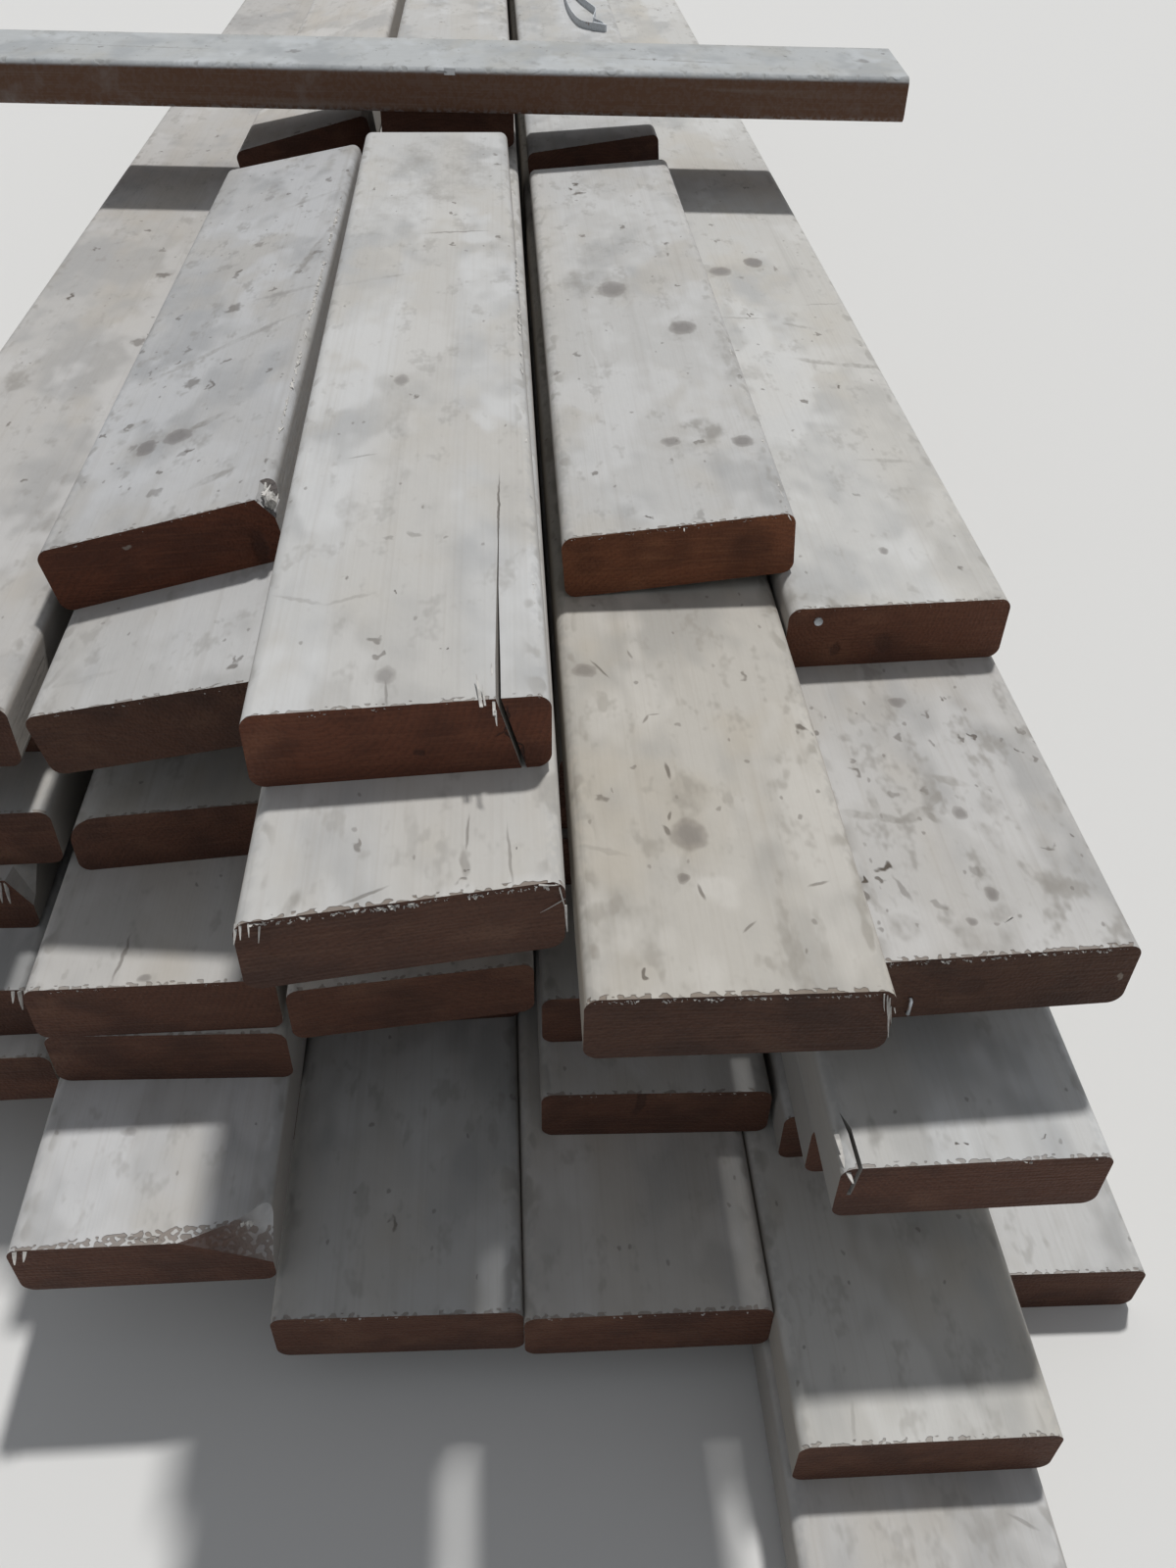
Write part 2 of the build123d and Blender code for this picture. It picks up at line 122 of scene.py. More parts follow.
# Marks on the planks' tops by kind: place across and along, half width and half length, all in
# millimetres, strength, and turn in degrees if any; a strength below nothing is a paler mark
MARKS = {
    "right_plank_08": {
        "knot": ((239, -1485, 8.4, 10.8, 0.5), (232, -1518, 3, 3.6, 0.55), (191, -1334, 6.7, 6.2, 0.45)),
        "dent": ((215, -1428, 2.8, 2.6, 0.4), (316, -1397, 3.5, 4.7, 0.7), (206, -1582, 2.3, 3.1, 0.7)),
        "stain": (
            (238, -1505, 6.7, 11.8, 0.3), (250, -1530, 9, 9.8, -0.5), (241, -1454, 12, 11.5, 0.2),
            (205, -1550, 19.5, 26.4, 0.15),
        ),
        "line": (
            (201, -1333, 1, 11.6, 0.55, 29), (221, -1318, 1, 5.2, 0.4, 12), (233, -1432, 1.4, 8, 0.65, 5),
            (230, -1470, 1.1, 4.1, 0.6, -16), (227, -1482, 1.5, 5.2, 0.6, 29), (225, -1384, 1, 4.9, 0.5, -26),
            (230, -1380, 0.8, 3.9, 0.4, -84), (301, -1525, 1.2, 6.3, 0.5, -73),
            (261, -1553, 0.9, 5.6, 0.5, -45), (240, -1528, 1.2, 6.6, 0.6, 11), (192, -1495, 2, 14.9, 0.15, 71),
            (278, -1559, 3.2, 31.1, 0.22, 1), (296, -1565, 2.5, 26.1, 0.18, -1),
        ),
    },
    "middle_short_plank": {
        "knot": ((75, -1117, 4.1, 8.1, 0.4), (84, -1464, 4.8, 6.5, 0.35)),
        "dent": (
            (77, -1432, 4, 3.5, 0.5), (79, -1447, 2.5, 2.6, 0.5), (94, -1327, 4.5, 3.3, 0.3),
            (78, -1331, 3.3, 3.3, 0.3), (56, -1375, 1.1, 2, 0.5), (85, -1387, 1.1, 1.9, 0.6),
            (113, -1442, 1, 1.7, 0.7),
        ),
        "stain": (
            (77, -1210, 5, 83.3, 0.2), (54, -1298, 6.9, 18.7, 0.2), (88, -620, 52, 95, 0.22),
            (50, -760, 26, 60, 0.15),
        ),
        "line": (
            (56, -1230, 1.2, 10.4, 0.3, -71), (34, -1394, 2, 15.8, 0.2, 71), (60, -1394, 2, 15.2, 0.2, -67),
            (108, -809, 2.2, 31.8, 0.4, -83), (43, -923, 3.1, 27.6, 0.3, -65), (141, -1299, 0.8, 41.5, 0.7, -1),
            (85, -1479, 0.8, 11.2, 0.4, 5),
        ),
    },
    "left_short_plank": {
        "knot": ((-83, -1127, 8.4, 10, 0.6), (-103, -1136, 5.9, 9.9, 0.65)),
        "dent": (
            (-78, -894, 7.3, 9.5, 0.55), (-88, -1037, 6.4, 9.6, 0.55), (-73, -1047, 2.7, 9.5, 0.6),
            (-115, -1133, 3.4, 6.7, 0.35), (-73, -1156, 6.5, 4.8, 0.4), (-84, -1208, 4.6, 5.8, 0.4),
            (-104, -967, 3.9, 8.6, 0.45), (-88, -809, 3.4, 13.3, 0.5), (-76, -740, 5.9, 8.7, 0.4),
            (-16, -793, 5.5, 5.4, 0.4), (-27, -573, 2.6, 10.6, 0.5), (-85, -596, 5.3, 10.4, 0.3),
            (-152, -1224, 2.4, 8.7, 0.5),
        ),
        "line": (
            (-120, -1095, 4.6, 11.8, 0.5, -52), (-65, -1112, 4.4, 15.5, 0.45, -51),
            (-46, -1203, 4, 17.8, 0.35, -58), (-74, -976, 3.8, 69.9, 0.25, -52),
            (-32, -880, 4, 28.1, 0.22, -82), (-38, -629, 4.1, 26.5, 0.25, -61),
            (-20, -786, 4.3, 59.1, 0.4, -11),
        ),
    },
    "right_short_plank": {
        "knot": (
            (245, -825, 10.7, 16.5, 0.55), (297, -924, 9.9, 12.4, 0.6), (265, -1127, 6.4, 6.1, 0.45),
            (316, -1136, 7, 7.5, 0.6),
        ),
        "dent": (
            (230, -515, 3.2, 6.8, 0.8), (221, -529, 2.1, 6.7, 0.8), (231, -546, 6.4, 6.6, 0.7),
            (267, -664, 3.9, 5.7, 0.6), (238, -1232, 1.9, 2.5, 0.7), (272, -1234, 3.2, 7.6, 0.3),
            (331, -1027, 3, 5.4, 0.5),
        ),
        "stain": (
            (225, -804, 18.1, 33.8, 0.3), (225, -732, 20.9, 26.4, 0.15), (288, -1112, 17.1, 14.1, 0.5),
            (275, -1132, 21.1, 13.6, 0.2), (325, -982, 6.3, 42, 0.3),
        ),
        "line": ((223, -993, 1.6, 55.2, -0.4, 8), (291, -1106, 3.7, 15.9, 0.35, 65)),
    },
    "far_right_plank_08": {
        "knot": ((404, -651, 8.1, 11.5, 0.75), (367, -676, 9.9, 11.1, 0.6), (406, -1218, 3.4, 4, 0.5)),
        "dent": (
            (385, -693, 4.9, 5.5, 0.35), (424, -671, 1.5, 11.3, 0.4), (378, -790, 1.9, 3.9, 0.7),
            (431, -952, 2.1, 3.2, 0.7), (410, -953, 1.7, 3, 0.4), (363, -954, 1.7, 2.9, 0.5),
            (405, -1137, 2.2, 3, 0.35),
        ),
        "stain": (
            (345, -1279, 15, 5, 0.6, -30), (463, -1281, 12, 5, 0.4, 20), (349, -1274, 19.5, 10.7, 0.3),
            (354, -920, 13.6, 16.4, 0.2),
        ),
        "line": (
            (422, -899, 4.5, 22.2, 0.3, 69), (455, -908, 4.5, 19.2, 0.4, 81), (371, -798, 2.4, 22.5, 0.25, 86),
            (421, -819, 3, 17.5, 0.25, 62), (453, -765, 1.9, 19.7, 0.25, -87), (438, -1085, 3, 19.2, 0.2, 83),
        ),
    },
    "far_right_plank_07": {
        "knot": (
            (396, -1329, 5.1, 4.3, 0.5), (408, -1437, 4.1, 5.3, 0.45), (407, -1503, 3.3, 4.6, 0.5),
            (390, -1523, 2.7, 2.9, 0.5),
        ),
        "dent": (
            (428, -1327, 1.9, 2.2, 0.7), (389, -1365, 3.1, 4, 0.5), (407, -1370, 1.9, 3, 0.4),
            (427, -1368, 2.5, 2, 0.6), (435, -1367, 1.9, 3, 0.75), (462, -1380, 1.9, 2, 0.6),
            (354, -1387, 2.4, 1.9, 0.4), (403, -1485, 3.9, 4, 0.35), (451, -1468, 5.1, 1.7, 0.55),
            (468, -1459, 1.7, 2.6, 0.5), (377, -1511, 5.9, 3, 0.35), (352, -1480, 5, 3.2, 0.95),
            (341, -1489, 1.6, 3.1, 0.95), (347, -1491, 2.7, 3.1, 0.7),
        ),
        "stain": (
            (431, -1432, 5.3, 9, 0.25), (419, -1463, 5.7, 13.5, 0.25), (444, -1496, 8.8, 9.6, 0.4),
            (405, -1516, 6.4, 6.8, 0.35), (352, -1525, 8.5, 7.2, 0.3), (392, -1540, 17.7, 14.2, 0.22),
        ),
        "line": (
            (349, -1436, 3.8, 12.3, 0.35, 77), (365, -1440, 3.8, 10.6, 0.42, 72),
            (382, -1437, 4.5, 14.1, 0.42, -58), (395, -1425, 3.1, 9.8, 0.35, -37),
            (358, -1428, 3, 14.1, 0.3, -3), (394, -1417, 4.6, 19.6, 0.25, -17),
            (408, -1407, 3.9, 12.5, 0.28, 65), (389, -1439, 3, 8.2, 0.4, 41), (358, -1497, 1.8, 11.3, 0.4, 17),
        ),
    },
    "far_left_plank_08": {
        "dent": (
            (-267, -715, 2.8, 10.4, 0.75), (-191, -658, 7.7, 8.3, 0.6), (-180, -825, 7, 9, 0.5),
            (-273, -581, 3, 6.1, 0.5), (-203, -585, 4, 6, 0.4),
        ),
        "stain": ((-267, -911, 9.8, 24.5, 0.4), (-174, -1143, 9.7, 17.4, 0.2)),
    },
    "middle_plank_09": {
        "dent": ((122, -1564, 3.6, 1.9, 0.5), (146, -1542, 0.9, 1.3, 0.6), (122, -1556, 0.9, 1.3, 0.5)),
        "stain": ((45, -1573, 4.4, 8.6, 0.5), (95, -1530, 4.2, 17.9, 0.2)),
        "line": (
            (123, -1531, 0.8, 14.3, 0.45, -2), (122, -1552, 2.4, 12.3, 0.35, 1), (143, -1547, 0.8, 22, 0.4, 3),
            (76, -1571, 1.2, 13, 0.5, -62),
        ),
    },
    "left_tilted_plank": {
        "dent": ((-18, -1358, 3.3, 4.1, 0.6), (-16, -1351, 1.3, 5.3, 0.5)),
        "line": ((-107, -1342, 2.7, 19.8, 0.15, -81),),
    },
    "far_right_plank_05": {
        "dent": ((381, -1599, 1.6, 1.3, 0.8), (429, -1597, 1.1, 1.3, 0.6)),
        "stain": ((336, -1590, 3.2, 7.6, 0.4),),
    },
    "left_plank_03": {
        "knot": ((-98, -1506, 4.2, 2.9, 0.3),),
        "dent": ((-68, -1579, 2.3, 1.3, 0.6),),
        "stain": ((-146, -1575, 10.1, 4.5, 0.3),),
        "line": ((-78, -1579, 1.1, 13.9, 0.4, 82),),
    },
    "left_plank_05": {
        "knot": ((-80, -1459, 3.5, 2.4, 0.4),),
        "line": ((-97, -1442, 1.6, 21.5, 0.5, -7),),
    },
    "cross_batten": {
        "dent": ((-78, -343, 8.6, 9.6, 0.4), (268, -418, 10.7, 8.9, 0.3), (559, -376, 9, 9.7, 0.4)),
        "line": ((-259, -324, 2.8, 97, 0.25, 83), (347, -380, 2.9, 100.6, 0.25, 80)),
    },
    "far_right_plank_02": {
        "line": ((326, -1684, 1.4, 11.8, 0.2, -9),),
    },
    "far_right_plank_01": {
        "stain": ((412, -1729, 16.6, 7.3, 0.3),),
        "line": ((421, -1726, 1.4, 9.4, 0.3, 59),),
    },
}

# Lines narrower and broader than usual, by half width in millimetres
THIN_LINE = 1.5
BROAD_LINE = 2.4

# Cracks and spots in the near ends: place across and up, half width and half height, all in
# millimetres, turn in degrees, strength; a strength below nothing is a rubbed, paler spot
END_MARKS = {
    "middle_short_plank": (
        (143.6, 440.5, 0.7, 5, 4, 0.9), (143.2, 433.2, 0.7, 4.4, -12, 0.9), (140, 428.2, 0.6, 3.4, -62, 0.6),
        (144.5, 427, 0.7, 3.2, 42, 0.85), (148.5, 421.8, 0.7, 3.4, 38, 0.85), (150.7, 416, 0.9, 3.4, 8, 0.8),
        (150.5, 410.5, 1.2, 3, -14, 0.8), (99.5, 419.7, 2.8, 3, 0, 0.6),
    ),
    "far_right_plank_08": ((394.5, 338, 6, 8, 20, 0.4), (362, 335, 3, 6, 0, 0.5)),
    "left_short_plank": ((-13.1, 394, 5, 14, 8, 0.5), (-94.9, 401.3, 2.2, 1.6, 0, -0.7)),
    "far_right_plank_07": ((387.3, 297.7, 8, 7, 0, 0.35), (471, 297.2, 1, 3, 0, -0.6)),
    "right_short_plank": ((308, 390, 16, 12, 15, 0.35), (198.5, 379.6, 10, 8, 0, 0.25)),
    "right_plank_03": ((222.5, 124, 3, 16, -14, 0.6),),
}

# Tint of the planks that show most
TINTS = {
    "right_plank_08": (0.945, 0.9, 0.83),
    "right_short_plank": (0.94, 0.935, 0.93),
    "far_right_plank_08": (1.05, 1.045, 1.03),
    "far_right_plank_07": (0.935, 0.915, 0.895),
    "middle_short_plank": (0.99, 0.99, 0.99),
    "middle_plank_09": (1.01, 1, 0.985),
    "left_short_plank": (0.845, 0.85, 0.87),
    "left_tilted_plank": (0.89, 0.885, 0.885),
    "far_left_plank_08": (0.9, 0.88, 0.865),
    "left_plank_03": (1, 1, 1.01),
    "left_plank_05": (0.96, 0.94, 0.92),
    "far_right_plank_02": (1, 0.985, 0.95),
    "far_right_plank_05": (1.03, 1.04, 1.05),
    "cross_batten": (0.835, 0.87, 0.9),
}

# Tone of the near ends against the usual sawn end: the four top planks' own end colours, and painted shade that
# darkens the ends of the planks below to about half
END_TONES_AND_SHADE = {
    "right_short_plank": (1.42, 1.26, 0.98),
    "middle_short_plank": (0.86, 0.72, 0.62),
    "left_short_plank": (0.86, 0.66, 0.52),
    "far_right_plank_08": (0.82, 0.78, 0.72),
    "middle_plank_09": (0.54, 0.6, 0.63),
    "right_plank_08": (0.44, 0.5, 0.54),
    "far_right_plank_07": (0.46, 0.52, 0.53),
    "left_tilted_plank": (0.48, 0.5, 0.48),
}
# Painted shade of the near ends of all other planks, which lie lower in the stack
SHADED_END_TONE = (0.58, 0.60, 0.60)

# Planks with more speckle than others
SPECKLED = {"far_right_plank_07": 1.0, "left_short_plank": 0.6, "right_plank_08": 0.4, "cross_batten": 0.15}
USUAL_SPECKLE = 0.12

# How ragged a plank's near top edge is
FRAYED = {
    "middle_plank_09": 1.0,
    "right_plank_08": 0.75,
    "far_right_plank_07": 0.7,
    "left_plank_03": 0.7,
    "right_short_plank": 0.5,
    "far_right_plank_05": 0.2,
    "far_right_plank_02": 0.1,
    "left_short_plank": 0.3,
}
USUAL_FRAY = 0.25

# Torn fringe along a plank's near top edge: fibres, and usual length in metres
FRINGES = {
    "middle_plank_09": (150, 0.0011),
    "right_plank_08": (110, 0.0008),
    "far_right_plank_07": (90, 0.0008),
    "right_short_plank": (50, 0.0006),
    "left_short_plank": (24, 0.0005),
    "middle_short_plank": (22, 0.0005),
    "far_right_plank_08": (20, 0.0005),
    "far_right_plank_05": (16, 0.0006),
    "left_tilted_plank": (24, 0.0005),
    "left_plank_03": (70, 0.0009),
    "left_plank_05": (30, 0.0006),
    "far_right_plank_02": (8, 0.0005),
    "far_left_plank_08": (24, 0.0006),
    "middle_plank_02": (24, 0.0006),
    "right_plank_02": (24, 0.0006),
    "right_plank_03": (20, 0.0006),
}

# Right top arrises with lifted fibres: run from the near end in metres, and fibres
RAGGED_ARRISES = {
    "left_short_plank": (0.62, 150),
    "middle_short_plank": (0.90, 60),
    "right_short_plank": (0.60, 50),
    "right_plank_08": (0.30, 50),
}

# Torn block on the left short plank's near right corner: place and size in metres
CHIP_PLACE = (-0.0035, -1.2402, 0.4258)
CHIP_SIZE = (0.0062, 0.0076, 0.0078)

# Single splinters by the plank they stand on: from, to, width and thickness in millimetres
SPLINTERS = {
    "middle_short_plank": (
        ((131.2, -1490.5, 449.6), (128.8, -1470, 454.2), 2, 0.7),
        ((133, -1489.5, 449.6), (131.6, -1477, 453), 1.2, 0.6),
        ((137.4, -1495, 447.8), (136.2, -1456, 450.6), 1.8, 0.8),
        ((137.8, -1492.5, 449), (138.4, -1498.5, 444), 1.4, 0.7),
    ),
    "right_plank_08": (
        ((322.2, -1596.5, 351), (324.3, -1602, 327), 1.6, 0.7),
        ((320.8, -1596.5, 353), (322.2, -1601, 340), 1.8, 0.8),
        ((323.6, -1596, 347), (325.2, -1599, 334), 1.2, 0.6),
        ((319, -1597, 354.5), (319.6, -1600.5, 345.5), 2.2, 0.8),
        ((325, -1593, 349), (326.2, -1598.5, 341), 1.6, 0.8),
        ((323.2, -1580, 353), (324, -1596, 350.5), 2.6, 0.9),
        ((321.2, -1572, 354.8), (322.4, -1586, 353), 2, 0.7),
    ),
    "left_short_plank": (
        ((-7.5, -1240.5, 429), (-4, -1228, 429.8), 2.6, 1.2),
        ((-0.5, -1242, 423.5), (1, -1233, 426.2), 2.2, 1.4),
    ),
    "middle_plank_09": (
        ((31.1, -1582, 404.6), (30, -1588.5, 395), 1.3, 0.7),
        ((20.6, -1584, 403), (19.6, -1590.5, 396.5), 1.8, 0.8),
        ((22.6, -1584.5, 404), (22.8, -1590, 399), 1.5, 0.7),
        ((26.2, -1584, 404.6), (26.8, -1590, 400.5), 1.1, 0.6),
        ((165.5, -1565, 401), (169, -1567.5, 386), 1.4, 0.8),
        ((168.6, -1565.5, 389), (169.4, -1567, 372), 1.5, 0.7),
        ((168.4, -1565, 393), (156.6, -1569, 388), 1, 0.5),
        ((156, -1567, 404.6), (165.5, -1566, 403), 1.6, 0.9),
    ),
    "right_short_plank": (
        ((261.2, -1243.2, 405.6), (260.6, -1250, 404), 1.6, 0.8),
        ((259, -1243.4, 406), (257.7, -1247.5, 405.2), 2, 0.7),
    ),
    "far_right_plank_07": (
        ((407.5, -1524, 321.3), (414, -1520, 323.6), 1.8, 0.7),
    ),
    "far_right_plank_05": (
        ((316.6, -1602, 226.2), (319.2, -1618.5, 224.6), 4.6, 2),
        ((315.8, -1590, 227.6), (317.6, -1610, 225.8), 3.4, 1.4),
    ),
    "far_left_plank_04": (
        ((-171.5, -1427, 179.5), (-170.4, -1433, 160), 2.4, 1),
        ((-174.5, -1427, 179.7), (-174, -1432.5, 168), 3.4, 1.2),
        ((-178.5, -1427, 179.7), (-179, -1431.5, 173.5), 2.6, 1),
    ),
    "far_left_plank_05": (
        ((-190, -1373, 224), (-189.5, -1379, 212), 3, 1.2),
        ((-187, -1370, 223.5), (-185.8, -1377, 209), 3.4, 1.6),
    ),
    "left_plank_03": (
        ((-148, -1583.5, 134.5), (-147.5, -1589, 130), 3, 1.4),
        ((-142, -1583.5, 134.5), (-142.5, -1588, 131), 2.6, 1.2),
    ),
}

# Line of the steel strap on the right back plank, across and along in metres
STRAP_PATH = (
    (0.2660, 0.560), (0.2630, 0.460), (0.2640, 0.360), (0.2690, 0.300), (0.2750, 0.257), (0.2830, 0.236),
    (0.3000, 0.216), (0.3120, 0.204), (0.3080, 0.232), (0.2960, 0.256), (0.2990, 0.282), (0.3060, 0.320),
    (0.3040, 0.340), (0.2960, 0.380), (0.2840, 0.440), (0.2780, 0.520),
)

# Small steel pieces in metres
SEAL_SPOT = (0.3035, 0.2130)
SEAL_TURN = math.radians(-44)
STAPLE_PLACE = (0.3553, -1.5515, 0.2856)
STAPLE_CROWN = 0.0105
NAIL_PLACE = (0.3475, -1.2886, 0.3582)

# Right back plank's top: height at a place across, and its tilt
BACK_TOP_X = 0.188
BACK_TOP_HEIGHT = 0.4009
BACK_TILT = math.radians(4.5)

# The batten's turn from the planks' direction
BATTEN_TURN = math.radians(94)

# Camera: place in metres, pitch, yaw and roll; and the way the key light shines
CAMERA_PLACE = (0.14603, -1.985, 0.8304)
CAMERA_ANGLES = (math.radians(41.04), math.radians(4.33), math.radians(-1.318))
KEY_TOWARD = Vector((-0.20, -0.43, -1.0))


# Node trees


class Wire:
    """An output socket of a material; arithmetic on it adds Math nodes."""

    def __init__(self, sheet, socket):
        self.sheet = sheet
        self.socket = socket

    def math(self, operation, *others):
        return self.sheet.add("ShaderNodeMath", {"operation": operation}, [self, *others])

    def __add__(self, other):
        return self.math("ADD", other)

    def __sub__(self, other):
        return self.math("SUBTRACT", other)

    def __mul__(self, other):
        return self.math("MULTIPLY", other)

    def __truediv__(self, other):
        return self.math("DIVIDE", other)

    def __radd__(self, other):
        return self.math("ADD", other)

    def __rmul__(self, other):
        return self.math("MULTIPLY", other)

    def __rsub__(self, other):
        return self.sheet.add("ShaderNodeMath", {"operation": "SUBTRACT"}, [other, self])

    def __abs__(self):
        return self.math("ABSOLUTE")

    def most(self, other):
        return self.math("MAXIMUM", other)

    def ease(self, low, high, start=0.0, end=1.0):
        """Smooth step from low to high."""
        settings = {"interpolation_type": "SMOOTHSTEP"}
        return self.sheet.add("ShaderNodeMapRange", settings, {0: self, 1: low, 2: high, 3: start, 4: end})


class Sheet:
    """Builds the nodes of one material, or of the world."""

    def __init__(self, name, kind="materials"):
        self.owner = getattr(bpy.data, kind).new(name)
        self.owner.use_nodes = True
        self.tree = self.owner.node_tree
        self.tree.nodes.clear()

    def add(self, kind, settings=None, inputs=None, output=0):
        """Adds a node, sets its settings, then its inputs, and returns one output."""
        node = self.tree.nodes.new(kind)
        for key, value in (settings or {}).items():
            setattr(node, key, value)
        pairs = inputs.items() if isinstance(inputs, dict) else enumerate(inputs or [])
        for key, value in pairs:
            if isinstance(value, Wire):
                self.tree.links.new(value.socket, node.inputs[key])
            elif node.inputs[key].type == "RGBA":
                node.inputs[key].default_value = (*value, 1)
            else:
                node.inputs[key].default_value = value
        return Wire(self, node.outputs[output])

    def numbers(self, vector):
        """The three numbers of a vector."""
        node = self.add("ShaderNodeSeparateXYZ", inputs=[vector]).socket.node
        return tuple(Wire(self, node.outputs[axis]) for axis in "XYZ")

    def turned(self, source, turn):
        """Object coordinates or normal, turned about the upright axis."""
        vector = self.add("ShaderNodeTexCoord", output=source)
        if not turn:
            return vector
        kind = {"vector_type": "POINT" if source == "Object" else "VECTOR"}
        return self.add("ShaderNodeMapping", kind, {"Vector": vector, "Rotation": (0, 0, turn)})

    def shift(self, point, noise, amount):
        """Moves a point about by a colour noise."""
        centred = self.add("ShaderNodeVectorMath", {"operation": "SUBTRACT"}, [noise, (0.5, 0.5, 0.5)])
        inputs = [centred, (amount, amount, amount), point]
        return self.add("ShaderNodeVectorMath", {"operation": "MULTIPLY_ADD"}, inputs)

    def oval(self, point, centre, size, turn, start, end, strength):
        """A soft oval spot: its strength inside, nothing outside."""
        inputs = {"Vector": point, "Location": centre, "Rotation": turn, "Scale": size}
        local = self.add("ShaderNodeMapping", {"vector_type": "TEXTURE"}, inputs)
        away = self.add("ShaderNodeVectorMath", {"operation": "LENGTH"}, [local], output="Value")
        return away.ease(start, end, strength, 0.0)

    def noise(self, point, scale, shift=(0, 0, 0), detail=3.0, rough=0.5, output=0):
        """Noise on a stretched and moved point."""
        moved = self.add("ShaderNodeMapping", inputs={"Vector": point, "Location": shift, "Scale": scale})
        inputs = {"Vector": moved, "Scale": 1.0, "Detail": detail, "Roughness": rough}
        return self.add("ShaderNodeTexNoise", inputs=inputs, output=output)

    def specks(self, point, scale, shift, share, size):
        """Scattered round specks: one in a share of the cells, of a size in cells."""
        moved = self.add("ShaderNodeMapping", inputs={"Vector": point, "Location": shift, "Scale": scale})
        flat = {"voronoi_dimensions": "2D"}
        cell = self.add("ShaderNodeTexVoronoi", flat, {"Vector": moved, "Scale": 1.0}, output="Distance")
        chance = self.add("ShaderNodeSeparateColor", inputs=[Wire(self, cell.socket.node.outputs["Color"])])
        spot = cell.ease(size, size * 0.45)
        return spot * chance.ease(1.0 - share, 1.0 - share * 0.8)

    def blend(self, factor, first, second, how="MIX"):
        """Mixes two colours."""
        settings = {"data_type": "RGBA", "blend_type": how, "clamp_factor": True}
        return self.add("ShaderNodeMix", settings, {0: factor, 6: first, 7: second}, output=2)

    def bump(self, height, distance, strength):
        """A bump from a height."""
        return self.add("ShaderNodeBump", inputs={"Height": height, "Distance": distance, "Strength": strength})

    def finish(self, base, roughness, normal=None, specular=0.3, metallic=0.0):
        """Ends the tree in one shader."""
        inputs = {"Base Color": base, "Roughness": roughness, "Metallic": metallic}
        inputs["Specular IOR Level"] = specular
        if normal:
            inputs["Normal"] = normal
        shader = self.add("ShaderNodeBsdfPrincipled", inputs=inputs)
        return self.show(shader, "ShaderNodeOutputMaterial")

    def show(self, shader, kind):
        """Links a shader to the output."""
        node = self.tree.nodes.new(kind)
        self.tree.links.new(shader.socket, node.inputs["Surface"])
        return self.owner


def darker(tone, share):
    """A share of a colour's light."""
    return tuple(part * share for part in tone)


def most_of(masks):
    """The strongest of several masks."""
    total = masks[0]
    for mask in masks[1:]:
        total = total.most(mask)
    return total


def near_edge(name):
    """Left and right end of a plank's near top edge, read from its top faces."""
    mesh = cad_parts[name].data
    points = mesh.vertices
    tops = [face for face in mesh.polygons if face.normal.z > 0.95]
    corners = [points[i].co.copy() for face in tops for i in face.vertices]
    low, high = min(point.x for point in corners), max(point.x for point in corners)
    wide = high - low
    left = min((p for p in corners if p.x < low + wide * 0.2), key=lambda point: point.y)
    right = min((p for p in corners if p.x > high - wide * 0.2), key=lambda point: point.y)
    slope = (right - left) / max(0.01, right.x - left.x)
    return left - slope * (left.x - low), right + slope * (high - right.x)


def top_marks(sheet, name, at):
    """Masks of the marks on a plank's top, by kind, and the places of its knots."""
    masks = {"knot": [], "rim": [], "dent": [], "line": [], "stain": [], "light": []}
    knots = []
    for kind, marks in MARKS.get(name, {}).items():
        for mark_x, mark_y, wide, long, strength, *lean in marks:
            centre = (mark_x * MM, mark_y * MM, 0)
            turn = (0, 0, math.radians(sum(lean)))

            def put(mask, point, start, end, amount, grow=1.0):
                """Adds one oval to a mask."""
                size = (wide * grow * MM, long * grow * MM, ENDLESS)
                masks[mask].append(sheet.oval(at[point], centre, size, turn, start, end, amount))

            if kind == "knot":
                put("knot", "ragged", 0.5, 1.1, min(1.0, strength * 1.2))
                put("rim", "ragged", 1.0, 1.35, strength * 0.75)
                put("stain", "loose", 0.2, 1.2, strength * 0.5, grow=2.3)
                knots.append((centre, wide * MM))
            elif kind == "stain":
                put("stain" if strength > 0 else "light", "loose", 0.6, 1.5, abs(strength) * 1.5)
            elif kind == "line" and strength < 0:
                put("light", "steady", 0.5, 1.1, -strength)
            elif kind == "line" and wide > BROAD_LINE:
                put("stain", "ragged", 0.6, 1.3, strength * 1.8)
            else:
                point = "broken" if kind == "dent" else "steady" if wide < THIN_LINE else "ragged"
                put(kind, point, 0.45, 1.15, min(1.0, strength * 1.1))
    return masks, knots


